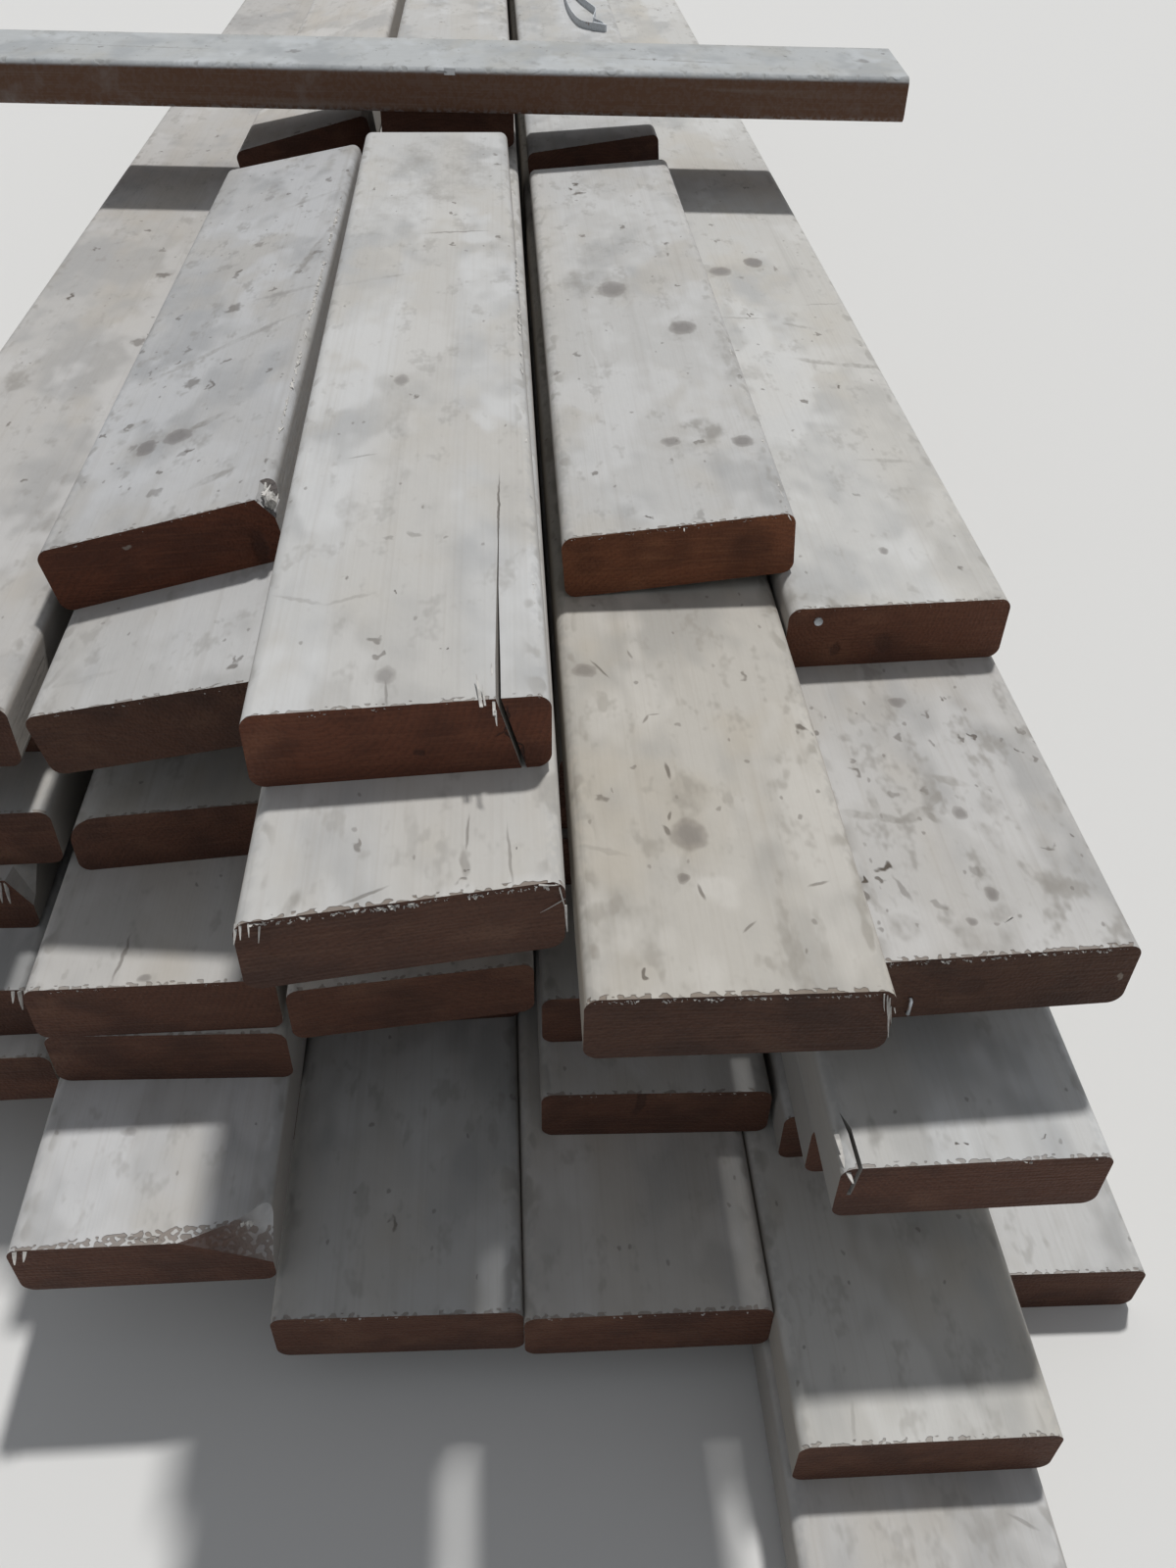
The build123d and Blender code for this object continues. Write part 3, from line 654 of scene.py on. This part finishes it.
def end_grain(sheet, name, point, ragged, late, height, shift):
    """Colour and relief of the sawn ends: brown, darkened with painted shade, with saw marks, stains, rubbed
    patches and cracks.
    """
    wood = bpy.context.scene.wood
    kerf = sheet.noise(point, (26, 26, 700), shift, detail=0)
    pore = sheet.noise(point, (600, 600, 600), shift, detail=0)
    cloud = sheet.noise(point, (17, 17, 26), shift, detail=2, rough=0.7, output="Color")
    dark, pale, _ = sheet.numbers(cloud)
    tone = sheet.blend(late * 0.26, wood.shaded_sawn_end, wood.end_dark)
    tone = sheet.blend(dark.ease(0.44, 0.66) * 0.62, tone, wood.end_dark)
    tone = sheet.blend(pale.ease(0.52, 0.72) * 0.55, tone, wood.end_pale)
    tone = sheet.blend(kerf.ease(0.48, 0.78) * 0.25, tone, wood.end_pale)
    tone = sheet.blend(pore.ease(0.5, 0.75) * 0.3, tone, wood.end_dark)
    # Painted shade: each end is darker towards its bottom edge, where it meets the plank below
    tone = sheet.blend(height.ease(0.014, 0.0) * 0.35, tone, wood.end_dark)
    # Each plank's end tone: painted shade darkens the ends of the lower planks
    tone = sheet.blend(1.0, tone, END_TONES_AND_SHADE.get(name, SHADED_END_TONE), "MULTIPLY")
    relief = kerf * 0.8 + pore * 0.7
    cracks = []
    rubs = []
    for mark_x, mark_z, wide, tall, lean, strength in END_MARKS.get(name, ()):
        centre = (mark_x * MM, 0, mark_z * MM)
        size = (wide * MM, ENDLESS, tall * MM)
        turn = (0, math.radians(-lean), 0)
        mark = sheet.oval(ragged, centre, size, turn, 0.6, 1.25, abs(strength))
        (cracks if strength > 0 else rubs).append(mark)
    if rubs:
        tone = sheet.blend(most_of(rubs), tone, wood.late)
    if cracks:
        crack = most_of(cracks)
        tone = sheet.blend(crack, tone, darker(wood.end_dark, 0.4))
        relief = relief - crack * 2.0
    return tone, relief


def plank_wood(name, seed, tint=(1, 1, 1), turn=0.0):
    """Wood of one plank: year rings about its own pith, weathered top, sawn ends and its marks."""
    wood = bpy.context.scene.wood
    rng = random.Random(seed)
    spin = Matrix.Rotation(turn, 3, "Z")
    corners = [spin @ vertex.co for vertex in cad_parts[name].data.vertices]
    left_x, right_x = min(corner.x for corner in corners), max(corner.x for corner in corners)
    bottom = min(corner.z for corner in corners)
    across = (left_x + right_x) / 2
    half = (right_x - left_x) / 2
    sheet = Sheet(f"wood_{name}")
    plain = sheet.add("ShaderNodeTexCoord", output="Object")
    point = sheet.turned("Object", turn)
    x, y, z = sheet.numbers(point)
    _, facing_end, facing_up = sheet.numbers(sheet.turned("Normal", turn))
    end = abs(facing_end).ease(0.55, 0.8)
    top = facing_up.ease(0.25, 0.75)
    shift = (rng.uniform(-9, 9), rng.uniform(-9, 9), rng.uniform(-9, 9))

    # Points moved about more or less, for outlines from steady to loose
    crumble = sheet.noise(plain, (150, 110, 150), shift, detail=1, rough=0.7, output="Color")
    cloud = sheet.noise(plain, (34, 26, 34), shift, detail=1, rough=0.8, output="Color")
    at = {
        "steady": sheet.shift(plain, crumble, 0.0015),
        "ragged": sheet.shift(plain, crumble, 0.0050),
        "broken": sheet.shift(plain, crumble, 0.0140),
        "loose": sheet.shift(plain, cloud, 0.026),
    }
    masks, knots = top_marks(sheet, name, at)

    # Year rings about a wandering pith, swelling round the knots
    pith_x = across + rng.uniform(-0.05, 0.05)
    pith_z = bottom + rng.choice((-1, 1)) * rng.uniform(0.03, 0.10)
    drift_x, _, drift_z = sheet.numbers(sheet.noise(point, (4, 0.7, 4), shift, detail=0, output="Color"))
    wander = sheet.noise(point, (24, 1.8, 24), shift, detail=1) - 0.5
    off_x = x - pith_x + (drift_x - 0.5) * 0.06
    off_z = z - pith_z + (drift_z - 0.5) * 0.04
    radius = (off_x * off_x + off_z * off_z).math("SQRT") + wander * 0.006
    for centre, size in knots:
        reach = (size * 3.2, size * 6.5, ENDLESS)
        radius = radius + sheet.oval(plain, centre, reach, (0, 0, 0), 0.15, 1.0, size * 0.9)
    ring = (radius / (wood.ring_gap * rng.uniform(0.8, 1.25))).math("FRACT")
    late = ring.ease(0.25, 0.85) * ring.ease(1.0, 0.9)

    # Patterns along the grain and across the faces
    fibre = sheet.noise(point, (420, 6, 420), shift, detail=1, rough=0.6)
    streak = sheet.noise(point, (60, 1.2, 60), shift, detail=2, rough=0.6)
    band = sheet.noise(point, (19, 0.9, 19), shift, detail=0)
    fine = sheet.noise(plain, (190, 120, 190), shift, detail=1, rough=0.7)
    smear = sheet.noise(plain, (46, 24, 46), shift, detail=3, rough=0.75)
    bite = sheet.noise(plain, (80, 36, 80), shift, detail=1, rough=0.8)
    patches = sheet.noise(plain, (11, 6, 11), shift, detail=3, rough=0.66, output="Color")
    greying, warming, fading = sheet.numbers(patches)

    # Long faces: bleached and dirty on top, fresher at the sides
    face = sheet.blend(greying.ease(0.46, 0.63) * 0.76, wood.pale, wood.grey)
    face = sheet.blend(warming.ease(0.48, 0.66) * 0.5, face, wood.beige)
    face = sheet.blend(fading.ease(0.50, 0.60) * 0.70, face, wood.bleached)
    face = sheet.blend(band.ease(0.52, 0.72) * 0.35, face, wood.beige)
    side = sheet.blend(band.ease(0.3, 0.7), wood.honey, darker(wood.honey, 0.72))
    side = sheet.blend(0.45 + 0.35 * warming, side, wood.grey)
    # The batten's long faces take mostly the dark brown of painted shade, with a little of the side wood
    if turn:
        side = sheet.blend(0.03 + 0.22 * greying.ease(0.56, 0.74), wood.batten_face_shade, side)
    face = sheet.blend(top, side, face)
    grain = 0.45 + 0.55 * (1 - top)
    face = sheet.blend(late * grain * (0.02 + 0.20 * streak.ease(0.50, 0.72)), face, wood.late)
    face = sheet.blend(fibre.ease(0.52, 0.76) * 0.09, face, wood.late)
    face = sheet.blend(streak.ease(0.60, 0.78) * 0.16, face, wood.stain)
    much = SPECKLED.get(name, USUAL_SPECKLE)
    smears = smear.ease(0.56 - 0.03 * much, 0.69) * (0.34 + 0.34 * much)
    if turn:
        smears = smears * top
    face = sheet.blend(smears, face, wood.stain)
    specks = sheet.specks(at["broken"], (52, 30, 0), shift, 0.022 + 0.17 * much, 0.15)
    crumbs = sheet.specks(at["ragged"], (140, 85, 0), shift, 0.012 + 0.06 * much, 0.2)
    dots = specks.most(crumbs * 0.7) * top
    face = sheet.blend(dots * (0.36 + 0.5 * fading), face, wood.dirt)

    # Worn arrises: rubbed, with small bites
    aside = abs(x - across)
    rubbed = aside.ease(half - 0.011, half - 0.004) * aside.ease(half + 0.001, half - 0.003)
    face = sheet.blend(rubbed * fine.ease(0.42, 0.6) * 0.35, face, wood.grey)
    bites = aside.ease(half - 0.016, half - 0.007) * bite.ease(0.55, 0.66) * top
    face = sheet.blend(bites * 0.55, face, wood.stain)

    # Torn near edge of the top
    if turn:
        torn = bites
    else:
        left, right = near_edge(name)
        slope = (right.y - left.y) / (right.x - left.x)
        past = y - left.y - (x - left.x) * slope
        amount = FRAYED.get(name, USUAL_FRAY)
        fray = past.ease(0.012, 0.001)
        near = past.ease(wood.torn_depth, 0.0)
        rip = sheet.noise(plain, (300, 340, 300), shift, detail=0)
        torn = (rip + near * 0.22).ease(0.70 - 0.10 * amount, 0.78 - 0.10 * amount)
        torn = torn * near.ease(0.0, 0.3) * top
        lifted = (bite + fray * 0.12).ease(0.60, 0.70) * fray * top
        face = sheet.blend(lifted * 0.4 * amount, face, wood.bleached)
        face = sheet.blend(torn * (0.5 + 0.4 * amount), face, wood.notch)

    # Marks, the dents and dark lines sunk in
    relief = fibre * 0.35 + fine * 0.45 - torn * 1.3
    for kind, ink, depth in (
        ("stain", wood.stain, 0.0),
        ("light", wood.bleached, 0.0),
        ("rim", wood.rim, 0.0),
        ("knot", wood.knot, 0.0),
        ("line", wood.dirt, 0.8),
        ("dent", wood.dirt, 1.1),
    ):
        if masks[kind]:
            mask = most_of(masks[kind]) * top
            if kind == "stain":
                mask = mask * (0.30 + 0.85 * smear.ease(0.40, 0.58))
            face = sheet.blend(mask, face, ink)
            if depth:
                relief = relief - mask * depth

    end_tone, end_relief = end_grain(sheet, name, point, at["ragged"], late, z - bottom, shift)
    base = sheet.blend(1.0, sheet.blend(end, face, end_tone), tint, "MULTIPLY")
    height = relief * (1 - end) + end_relief * end * 1.6
    return sheet.finish(base, 0.68 + 0.22 * fine, sheet.bump(height, 0.0007, 0.8))


def visible_tint(seed):
    """A slight tint that tells one plank from the next."""
    rng = random.Random(seed * 7 + 3)
    value = rng.uniform(0.93, 1.03)
    warm = rng.uniform(-0.015, 0.035)
    return (value * (1 + warm), value, value * (1 - warm))


def torn_wood():
    """Pale torn fibres."""
    torn = bpy.context.scene.torn
    sheet = Sheet("torn_wood")
    point = sheet.turned("Object", 0)
    mottle = sheet.noise(point, (260, 260, 260), detail=3)
    thread = sheet.noise(point, (900, 120, 900), detail=2)
    base = sheet.blend(mottle.ease(0.35, 0.65), torn.fibre, darker(torn.fibre, 0.72))
    normal = sheet.bump(thread, 0.0003, 0.6)
    return sheet.finish(base, 0.7 + 0.2 * mottle, normal)


def dull_steel():
    """Zinc coated steel gone dull, with rust freckles."""
    steel = bpy.context.scene.steel
    sheet = Sheet("dull_steel")
    point = sheet.turned("Object", 0)
    bloom = sheet.noise(point, (90, 90, 90), detail=5, rough=0.65)
    scratch = sheet.noise(point, (1200, 40, 400), detail=2)
    rust = bloom.ease(0.60, 0.70)
    base = sheet.blend(scratch.ease(0.4, 0.7) * 0.4, steel.tone, darker(steel.tone, 0.55))
    base = sheet.blend(rust * 0.7, base, steel.rust)
    roughness = 0.38 + 0.3 * bloom
    normal = sheet.bump(bloom + scratch * 0.4, 0.0002, 0.5)
    return sheet.finish(base, roughness, normal, metallic=0.75 - rust * 0.6)


# Modelling


def deselect():
    """Leaves nothing selected, in object mode."""
    if bpy.context.object and bpy.context.object.mode != "OBJECT":
        bpy.ops.object.mode_set(mode="OBJECT")
    bpy.ops.object.select_all(action="DESELECT")


def pick(piece, test):
    """Selects the parts of a piece whose corners pass a test, and stays in edit mode."""
    bpy.ops.object.mode_set(mode="OBJECT")
    mesh = piece.data
    chosen = [test(piece.matrix_world @ vertex.co) for vertex in mesh.vertices]
    for vertex in mesh.vertices:
        vertex.select = chosen[vertex.index]
    for edge in mesh.edges:
        edge.select = all(chosen[i] for i in edge.vertices)
    for face in mesh.polygons:
        face.select = all(chosen[i] for i in face.vertices)
    bpy.ops.object.mode_set(mode="EDIT")


def finish_piece(piece, name, material, smooth=None):
    """Settles a piece's name, place, finish and body."""
    bpy.ops.object.mode_set(mode="EDIT")
    bpy.ops.mesh.select_all(action="SELECT")
    bpy.ops.mesh.remove_doubles(threshold=0.00001)
    bpy.ops.mesh.normals_make_consistent(inside=False)
    bpy.ops.object.mode_set(mode="OBJECT")
    bpy.ops.object.transform_apply(location=True, rotation=True, scale=True)
    if smooth:
        bpy.ops.object.shade_smooth_by_angle(angle=math.radians(smooth))
    piece.name = name
    piece.data.name = name
    piece.data.materials.clear()
    piece.data.materials.append(material)
    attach(piece, "root")
    return piece


def soften(piece, width):
    """Bevels a piece's edges."""
    soft = piece.modifiers.new("edges", "BEVEL")
    soft.width = width
    soft.segments = 2
    soft.limit_method = "ANGLE"
    bpy.ops.object.modifier_apply(modifier="edges")


def sliver():
    """One thin tapered sliver of unit length along +Z, a little bowed."""
    deselect()
    bpy.ops.mesh.primitive_cylinder_add(vertices=6, radius=0.5, depth=1.0, location=(0, 0, 0.5))
    piece = bpy.context.object
    bpy.ops.object.mode_set(mode="EDIT")
    bpy.context.tool_settings.mesh_select_mode = (True, False, False)
    for height in (0.4, 0.75):
        bpy.ops.mesh.select_all(action="SELECT")
        bpy.ops.mesh.bisect(plane_co=(0, 0, height), plane_no=(0, 0, 1))
    for height, girth, lean in ((0.4, 0.85, 0.14), (0.75, 0.55, 0.10), (1.0, 0.22, -0.25)):
        pick(piece, lambda place: abs(place.z - height) < 0.01)
        bpy.ops.transform.resize(value=(girth, girth, 1))
        bpy.ops.transform.translate(value=(0, lean, 0))
    bpy.ops.object.mode_set(mode="OBJECT")
    bpy.ops.object.transform_apply(location=True, rotation=True, scale=True)
    return piece


def lay_slivers(template, name, lines, material):
    """Copies the sliver along lines: from, to, width, thickness; and joins the copies."""
    deselect()
    copies = []
    for start, stop, width, thick in lines:
        along = (stop - start).normalized()
        wide = along.cross(Vector((0.12, 0.35, 1.0))).normalized()
        flat = along.cross(wide).normalized()
        copy = template.copy()
        copy.data = template.data.copy()
        bpy.context.scene.collection.objects.link(copy)
        columns = (wide * width, flat * thick, along * (stop - start).length)
        copy.matrix_world = Matrix.Translation(start) @ Matrix(columns).transposed().to_4x4()
        copies.append(copy)
    for copy in copies:
        copy.select_set(True)
    bpy.context.view_layer.objects.active = copies[0]
    bpy.ops.object.join()
    return finish_piece(bpy.context.object, name, material, smooth=40)


# Operators


class LUMBER_OT_dress_planks(bpy.types.Operator):
    """Gives each plank its own weathered wood"""

    bl_idname = "lumber.dress_planks"
    bl_label = "Dress the planks"

    def execute(self, context):
        for seed, name in enumerate(sorted(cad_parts)):
            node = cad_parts[name]
            turn = BATTEN_TURN if name == "cross_batten" else 0.0
            material = plank_wood(name, seed, TINTS.get(name, visible_tint(seed)), turn)
            node.data.materials.clear()
            node.data.materials.append(material)
        return {"FINISHED"}


class LUMBER_OT_torn_fringes(bpy.types.Operator):
    """Lays torn fibres along the near top edges of the planks"""

    bl_idname = "lumber.torn_fringes"
    bl_label = "Tear the near edges"

    def execute(self, context):
        torn = context.scene.torn
        rng = random.Random(torn.seed)
        material = torn_wood()
        template = sliver()
        for name, (count, usual) in FRINGES.items():
            left, right = near_edge(name)
            lines = []
            tuft = rng.random()
            for _ in range(count):
                if rng.random() < 0.55:
                    tuft = rng.random()
                share = min(1.0, max(0.0, tuft + rng.gauss(0, 0.012)))
                root = left.lerp(right, share) + Vector((0, 0.0012, -rng.uniform(0.0004, 0.0022)))
                reach = usual * rng.choice((0.4, 0.6, 0.8, 1.0, 1.2, 1.7)) + 0.0012
                way = Vector((rng.gauss(0, 0.28), -1.0, -abs(rng.gauss(0.55, 0.45)))).normalized()
                broad = torn.width * rng.choice((0.7, 1.0, 1.6, 2.4, 3.6, 5.0))
                lines.append((root, root + way * reach, broad, torn.thickness * rng.uniform(0.8, 1.6)))
            if name in RAGGED_ARRISES:
                run, fibres = RAGGED_ARRISES[name]
                spot = rng.random()
                for _ in range(fibres):
                    if rng.random() < 0.3:
                        spot = rng.random()
                    place = min(1.0, max(0.0, spot + rng.gauss(0, 0.01)))
                    root = right + Vector((-0.0008, 0.002 + run * place, -rng.uniform(0.0004, 0.0012)))
                    way = (rng.uniform(0.05, 0.3), rng.choice((-1, 1)), -rng.uniform(0.02, 0.16))
                    way = Vector(way).normalized()
                    broad = torn.width * rng.choice((0.8, 1.2, 1.8, 2.6))
                    lines.append((root, root + way * rng.uniform(0.003, 0.010), broad, torn.thickness * 1.4))
            lay_slivers(template, f"torn_edge_of_{name}", lines, material)
        for name, table in SPLINTERS.items():
            lines = [(Vector(a) * MM, Vector(b) * MM, wide * MM, thick * MM) for a, b, wide, thick in table]
            lay_slivers(template, f"splinters_of_{name}", lines, material)
        bpy.data.objects.remove(template)

        # Torn block, split and pulled about
        deselect()
        turn = (0.35, 0.1, 0.2)
        bpy.ops.mesh.primitive_cube_add(size=1, location=CHIP_PLACE, scale=CHIP_SIZE, rotation=turn)
        chip = context.object
        bpy.ops.object.mode_set(mode="EDIT")
        bpy.ops.mesh.select_all(action="SELECT")
        bpy.ops.mesh.subdivide(number_cuts=3)
        bpy.ops.transform.vertex_random(offset=0.0011, uniform=0.3, seed=torn.seed)
        top = CHIP_PLACE[2] + 0.0022
        pick(chip, lambda place: place.z > top)
        bpy.ops.transform.resize(value=(0.7, 1.15, 1))
        finish_piece(chip, "torn_block_of_left_short_plank", material)
        return {"FINISHED"}


class LUMBER_OT_steel_pieces(bpy.types.Operator):
    """Adds the loose steel strap with its seal, a staple and a nail head"""

    bl_idname = "lumber.steel_pieces"
    bl_label = "Add strap, staple and nail"

    def execute(self, context):
        steel = context.scene.steel
        material = dull_steel()

        def rest(x, y):
            """A place on the right back plank's top."""
            return Vector((x, y, BACK_TOP_HEIGHT + (x - BACK_TOP_X) * math.tan(BACK_TILT)))

        # Strap standing on its edge, drawn out along its line
        deselect()
        places = [rest(*spot) for spot in STRAP_PATH]
        run = (places[1] - places[0]).normalized()
        middle = places[0] + run * (steel.strap_width / 2) + Vector((0, 0, steel.strap_width / 2))
        turn = (math.pi / 2, 0, math.atan2(run.y, run.x))
        bpy.ops.mesh.primitive_plane_add(size=steel.strap_width, location=middle, rotation=turn)
        strap = context.object
        bpy.ops.object.mode_set(mode="EDIT")
        bpy.context.tool_settings.mesh_select_mode = (True, False, False)
        last = places[0] + run * steel.strap_width
        for place in places[1:]:
            at = last.copy()
            pick(strap, lambda p: (p - at).xy.length < 0.0008)
            bpy.ops.mesh.extrude_region_move(TRANSFORM_OT_translate={"value": place - last})
            last = place
        bpy.ops.object.mode_set(mode="OBJECT")
        bend = strap.modifiers.new("rounded", "SUBSURF")
        bend.levels = bend.render_levels = 2
        bpy.ops.object.modifier_apply(modifier="rounded")
        wall = strap.modifiers.new("gauge", "SOLIDIFY")
        wall.thickness = steel.strap_gauge
        wall.offset = 0
        bpy.ops.object.modifier_apply(modifier="gauge")
        finish_piece(strap, "strap_offcut", material, smooth=40)

        # Seal clamped on the strap
        deselect()
        place = rest(*SEAL_SPOT) + Vector((0, 0, steel.strap_width * 0.5))
        size = (0.026, 0.0034, steel.strap_width * 1.15)
        bpy.ops.mesh.primitive_cube_add(size=1, location=place, scale=size, rotation=(0, 0, SEAL_TURN))
        seal = context.object
        bpy.ops.object.mode_set(mode="EDIT")
        for _ in range(2):
            bpy.ops.mesh.select_all(action="SELECT")
            bpy.ops.mesh.subdivide(number_cuts=2)
        bpy.ops.object.mode_set(mode="OBJECT")
        soften(seal, 0.0006)
        finish_piece(seal, "strap_seal", material, smooth=40)

        # Staple in a far right plank's end: crown upright, legs going in
        deselect()
        size = {"vertices": 10, "radius": 0.0009, "depth": STAPLE_CROWN}
        bpy.ops.mesh.primitive_cylinder_add(location=STAPLE_PLACE, **size)
        staple = context.object
        for side in (1, -1):
            tip = STAPLE_PLACE[2] + side * STAPLE_CROWN / 2
            pick(staple, lambda p: abs(p.z - tip) < 0.0002)
            bpy.ops.mesh.extrude_region_move(TRANSFORM_OT_translate={"value": (0, 0.0012, side * 0.0008)})
            bpy.ops.mesh.extrude_region_move(TRANSFORM_OT_translate={"value": (0, 0.0060, 0)})
        finish_piece(staple, "staple", material, smooth=60)

        # Nail head in the far right top plank's end
        deselect()
        size = {"vertices": 24, "radius": 0.0029, "depth": 0.0022}
        bpy.ops.mesh.primitive_cylinder_add(location=NAIL_PLACE, rotation=(math.pi / 2, 0, 0), **size)
        nail = context.object
        pick(nail, lambda p: p.y < NAIL_PLACE[1] - 0.0006)
        bpy.ops.mesh.inset(thickness=0.0009)
        bpy.ops.transform.translate(value=(0, 0.0005, 0))
        bpy.ops.object.mode_set(mode="OBJECT")
        soften(nail, 0.0004)
        finish_piece(nail, "nail_head", material, smooth=40)
        return {"FINISHED"}


class LUMBER_OT_stage(bpy.types.Operator):
    """Sets the camera, the pale floor and the studio light"""

    bl_idname = "lumber.stage"
    bl_label = "Set the stage"

    def execute(self, context):
        light = context.scene.light
        deselect()
        bpy.ops.mesh.primitive_plane_add(size=40, location=(0, 8, 0))
        floor = context.object
        floor.name = "studio_floor"
        floor.data.materials.append(Sheet("studio_floor").finish(light.floor_tone, 0.9, specular=0.1))

        bpy.ops.object.camera_add(location=CAMERA_PLACE)
        camera = context.object
        camera.name = "camera"
        pitch, yaw, roll = CAMERA_ANGLES
        forward = Vector((math.sin(yaw) * math.cos(pitch), math.cos(yaw) * math.cos(pitch), -math.sin(pitch)))
        level = Vector((math.cos(yaw), -math.sin(yaw), 0))
        down = forward.cross(level)
        right = level * math.cos(roll) + down * math.sin(roll)
        up = level * math.sin(roll) - down * math.cos(roll)
        turn = Matrix((right, up, -forward)).transposed().to_4x4()
        camera.matrix_world = Matrix.Translation(CAMERA_PLACE) @ turn
        camera.data.lens = light.lens
        camera.data.sensor_width = 36
        context.scene.camera = camera

        bpy.ops.object.light_add(type="SUN", rotation=(0, 0, 0))
        key = context.object
        key.name = "key_light"
        key.matrix_world = KEY_TOWARD.normalized().to_track_quat("-Z", "Y").to_matrix().to_4x4()
        key.data.energy = light.key_power
        key.data.angle = math.radians(4)
        key.data.color = (1.0, 0.985, 0.965)

        # Even light all round, and a pale backdrop for what is seen or mirrored
        studio = Sheet("studio", "worlds")
        ray = studio.add("ShaderNodeLightPath").socket.node.outputs
        shown = most_of([Wire(studio, ray[f"Is {kind} Ray"]) for kind in ("Camera", "Glossy", "Transmission")])
        even = {"Color": (0.92, 0.95, 1.0), "Strength": light.sky_power}
        sky = studio.add("ShaderNodeBackground", inputs=even)
        backdrop = studio.add("ShaderNodeBackground", inputs={"Color": (0.93, 0.93, 0.93)})
        mix = studio.add("ShaderNodeMixShader", inputs=[shown, sky, backdrop])
        context.scene.world = studio.show(mix, "ShaderNodeOutputWorld")
        context.scene.view_settings.view_transform = "Standard"
        return {"FINISHED"}


class LUMBER_PT_panel(bpy.types.Panel):
    """Lists the steps that dress the lumber stack"""

    bl_idname = "LUMBER_PT_panel"
    bl_label = "Lumber stack"
    bl_space_type = "VIEW_3D"
    bl_region_type = "UI"
    bl_category = "Lumber"

    def draw(self, context):
        for step in STEPS:
            self.layout.operator(step)


STEPS = ("lumber.dress_planks", "lumber.torn_fringes", "lumber.steel_pieces", "lumber.stage")
CLASSES = (
    WoodSettings,
    TornSettings,
    SteelSettings,
    LightSettings,
    LUMBER_OT_dress_planks,
    LUMBER_OT_torn_fringes,
    LUMBER_OT_steel_pieces,
    LUMBER_OT_stage,
    LUMBER_PT_panel,
)


def register():
    for item in CLASSES:
        bpy.utils.register_class(item)
    bpy.types.Scene.wood = PointerProperty(type=WoodSettings)
    bpy.types.Scene.torn = PointerProperty(type=TornSettings)
    bpy.types.Scene.steel = PointerProperty(type=SteelSettings)
    bpy.types.Scene.light = PointerProperty(type=LightSettings)


def unregister():
    del bpy.types.Scene.light
    del bpy.types.Scene.steel
    del bpy.types.Scene.torn
    del bpy.types.Scene.wood
    for item in reversed(CLASSES):
        bpy.utils.unregister_class(item)


def main():
    """Dresses the stack and sets the stage."""
    register()
    bpy.ops.lumber.dress_planks()
    bpy.ops.lumber.torn_fringes()
    bpy.ops.lumber.steel_pieces()
    bpy.ops.lumber.stage()


if __name__ == "__main__":
    main()
